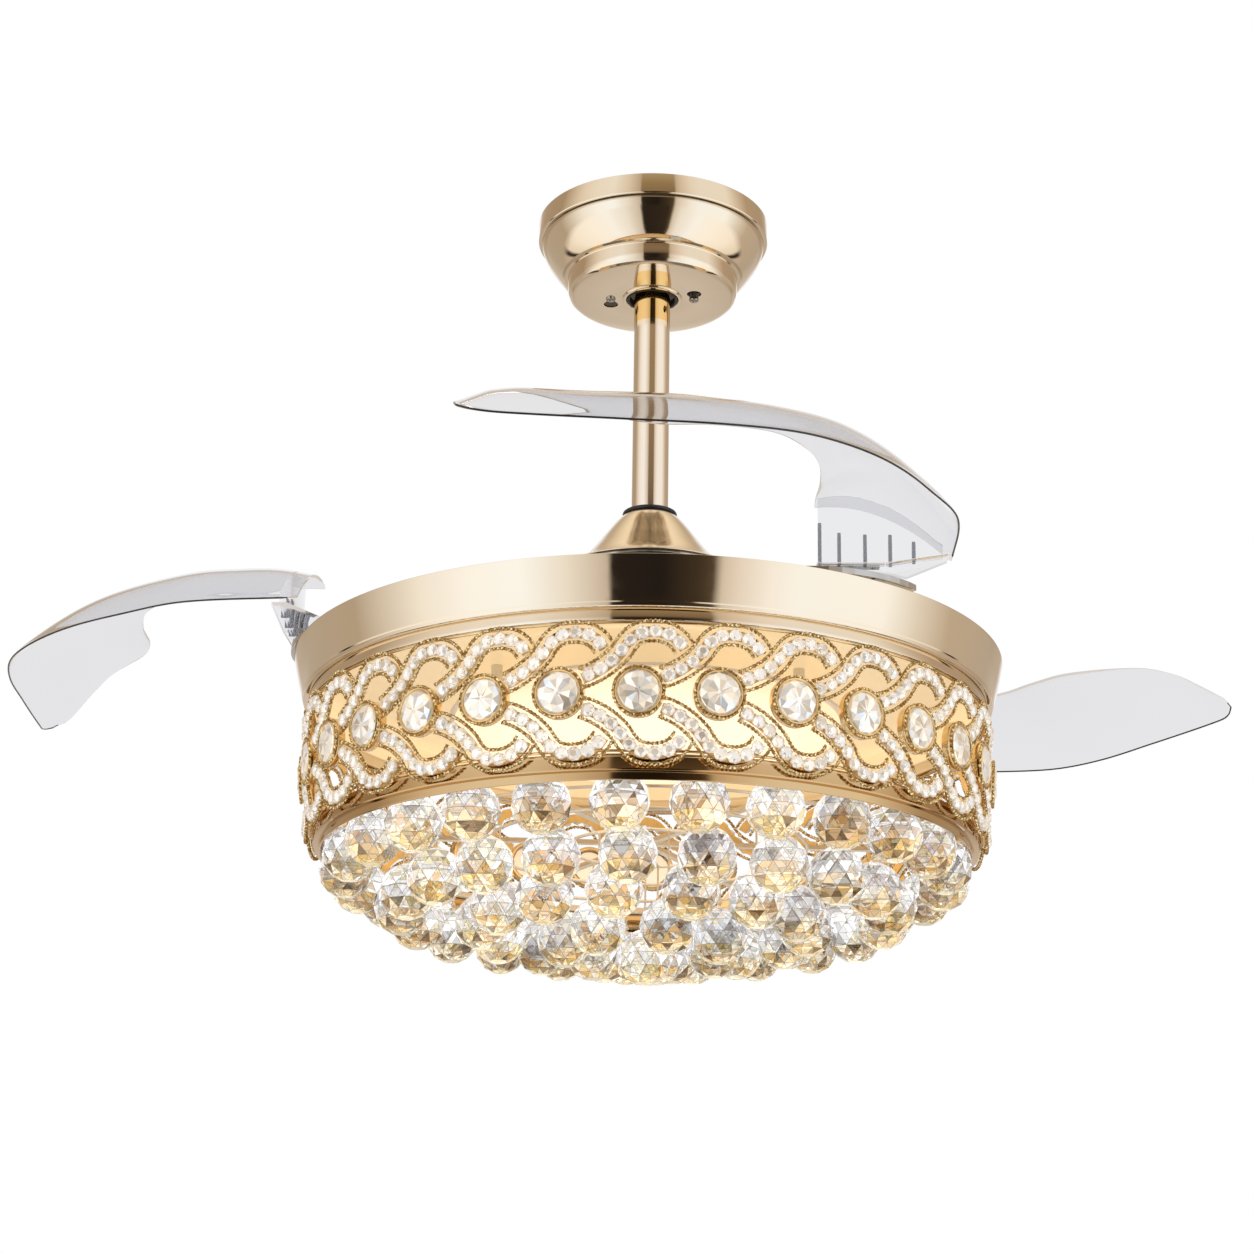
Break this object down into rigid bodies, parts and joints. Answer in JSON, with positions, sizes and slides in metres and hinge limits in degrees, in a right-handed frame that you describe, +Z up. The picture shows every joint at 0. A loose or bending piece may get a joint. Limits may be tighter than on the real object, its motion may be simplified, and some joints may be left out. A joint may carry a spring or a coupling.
{
  "type": "chandelier ceiling fan",
  "caption": "Ceiling fan on a downrod with a round pierced light drum, a dome of cut-glass balls below it and clear curved blades that fold in over the drum.",
  "frame": {"origin": "centre of the hanger bracket's top face, where it meets the ceiling", "axes": "+Z up, along the rod to the ceiling; -Y towards the camera; +X to the camera's right"},
  "size_m": [0.9111, 0.7489, 0.5755],
  "materials": {
    "champagne_gold": "mirror-polished champagne-gold plating on steel",
    "warm_gold": "polished warm gold plating",
    "zinc_steel": "zinc-plated sheet steel",
    "steel": "plain turned steel",
    "core_steel": "varnished laminations",
    "magnet": "ground ferrite",
    "dark_metal": "satin dark grey",
    "dark_plastic": "moulded dark grey plastic",
    "black_rubber": "matt black",
    "clear_plastic": "clear moulded plastic",
    "cut_glass": "clear faceted glass on gold wire",
    "white_plastic": "matt white",
    "board_aluminium": "white-coated aluminium board",
    "lamp_lens": "opal warm white"
  },
  "bodies": {
    "mount": {"hanger_bracket": "zinc_steel", "receiver": "white_plastic", "canopy": "champagne_gold", "canopy_trim_ring": "champagne_gold", "canopy_grommet": "black_rubber", "canopy_screw_left": "champagne_gold", "canopy_screw_right": "champagne_gold"},
    "ball": {"hanger_ball": "dark_plastic", "downrod_cross_pin": "steel"},
    "drop": {"downrod": "champagne_gold", "motor_lead": "black_rubber", "rubber_ring": "black_rubber", "coupling_cover": "champagne_gold", "yoke": "steel", "yoke_pin": "steel", "yoke_set_screw": "steel", "motor_shaft": "steel", "stator": "core_steel", "upper_bearing": "steel", "lower_bearing": "steel", "top_pan": "champagne_gold", "rim_ring": "champagne_gold", "upper_ring": "champagne_gold", "filigree_band": "warm_gold", "lower_ring": "champagne_gold", "led_driver": "white_plastic", "led_board": "board_aluminium", "led_lens": "lamp_lens", "lamp_nut": "steel", "crystal_frame": "warm_gold", "crystal_ring_1": "cut_glass", "crystal_ring_2": "cut_glass", "crystal_ring_3": "cut_glass", "crystal_ring_4": "cut_glass"},
    "rotor": {"rotor_top_cover": "dark_metal", "rotor_bottom_cover": "dark_metal", "magnet_ring": "magnet", "blade_disc": "zinc_steel", "pivot_shaft_1": "steel", "pivot_shaft_2": "steel", "pivot_shaft_3": "steel", "pivot_cap_1": "steel", "pivot_cap_2": "steel", "pivot_cap_3": "steel", "return_spring_1": "steel", "return_spring_2": "steel", "return_spring_3": "steel"},
    "blade_front": {"blade_holder_1": "dark_plastic", "blade_1": "clear_plastic", "blade_clamp_plate_1": "dark_plastic"},
    "blade_right": {"blade_holder_2": "dark_plastic", "blade_2": "clear_plastic", "blade_clamp_plate_2": "dark_plastic"},
    "blade_left": {"blade_holder_3": "dark_plastic", "blade_3": "clear_plastic", "blade_clamp_plate_3": "dark_plastic"}
  },
  "joints": [
    {"name": "ball_tilt", "type": "hinge", "parent": "mount", "child": "ball", "pos_m": [0, 0, -0.021], "axis": [0, 1, 0], "range_deg": [-2.5, 2.5]},
    {"name": "rod_rock", "type": "hinge", "parent": "ball", "child": "drop", "pos_m": [0, 0, -0.021], "axis": [1, 0, 0], "range_deg": [-2.5, 2.5]},
    {"name": "rotor_spin", "type": "hinge", "parent": "drop", "child": "rotor", "pos_m": [0, 0, -0.353], "axis": [0, 0, 1], "continuous": true},
    {"name": "blade_front_fold", "type": "hinge", "parent": "rotor", "child": "blade_front", "pos_m": [0.104, -0.13, -0.35], "axis": [0, 0, 1], "range_deg": [-87, 2.3], "stiffness_Nm_per_rad": 0.15, "springref_deg": -87},
    {"name": "blade_right_fold", "type": "hinge", "parent": "rotor", "child": "blade_right", "pos_m": [0.06058, 0.15507, -0.35], "axis": [0, 0, 1], "range_deg": [-84.2, 2.3], "stiffness_Nm_per_rad": 0.15, "springref_deg": -84.1},
    {"name": "blade_left_fold", "type": "hinge", "parent": "rotor", "child": "blade_left", "pos_m": [-0.16458, -0.02507, -0.35], "axis": [0, 0, 1], "range_deg": [-114, 3.1], "stiffness_Nm_per_rad": 0.15, "springref_deg": -113.9}
  ],
  "couplings": [
    {"joint": "blade_right_fold", "follows": "blade_front_fold", "ratio": 0.9667},
    {"joint": "blade_left_fold", "follows": "blade_front_fold", "ratio": 1.3092}
  ]
}
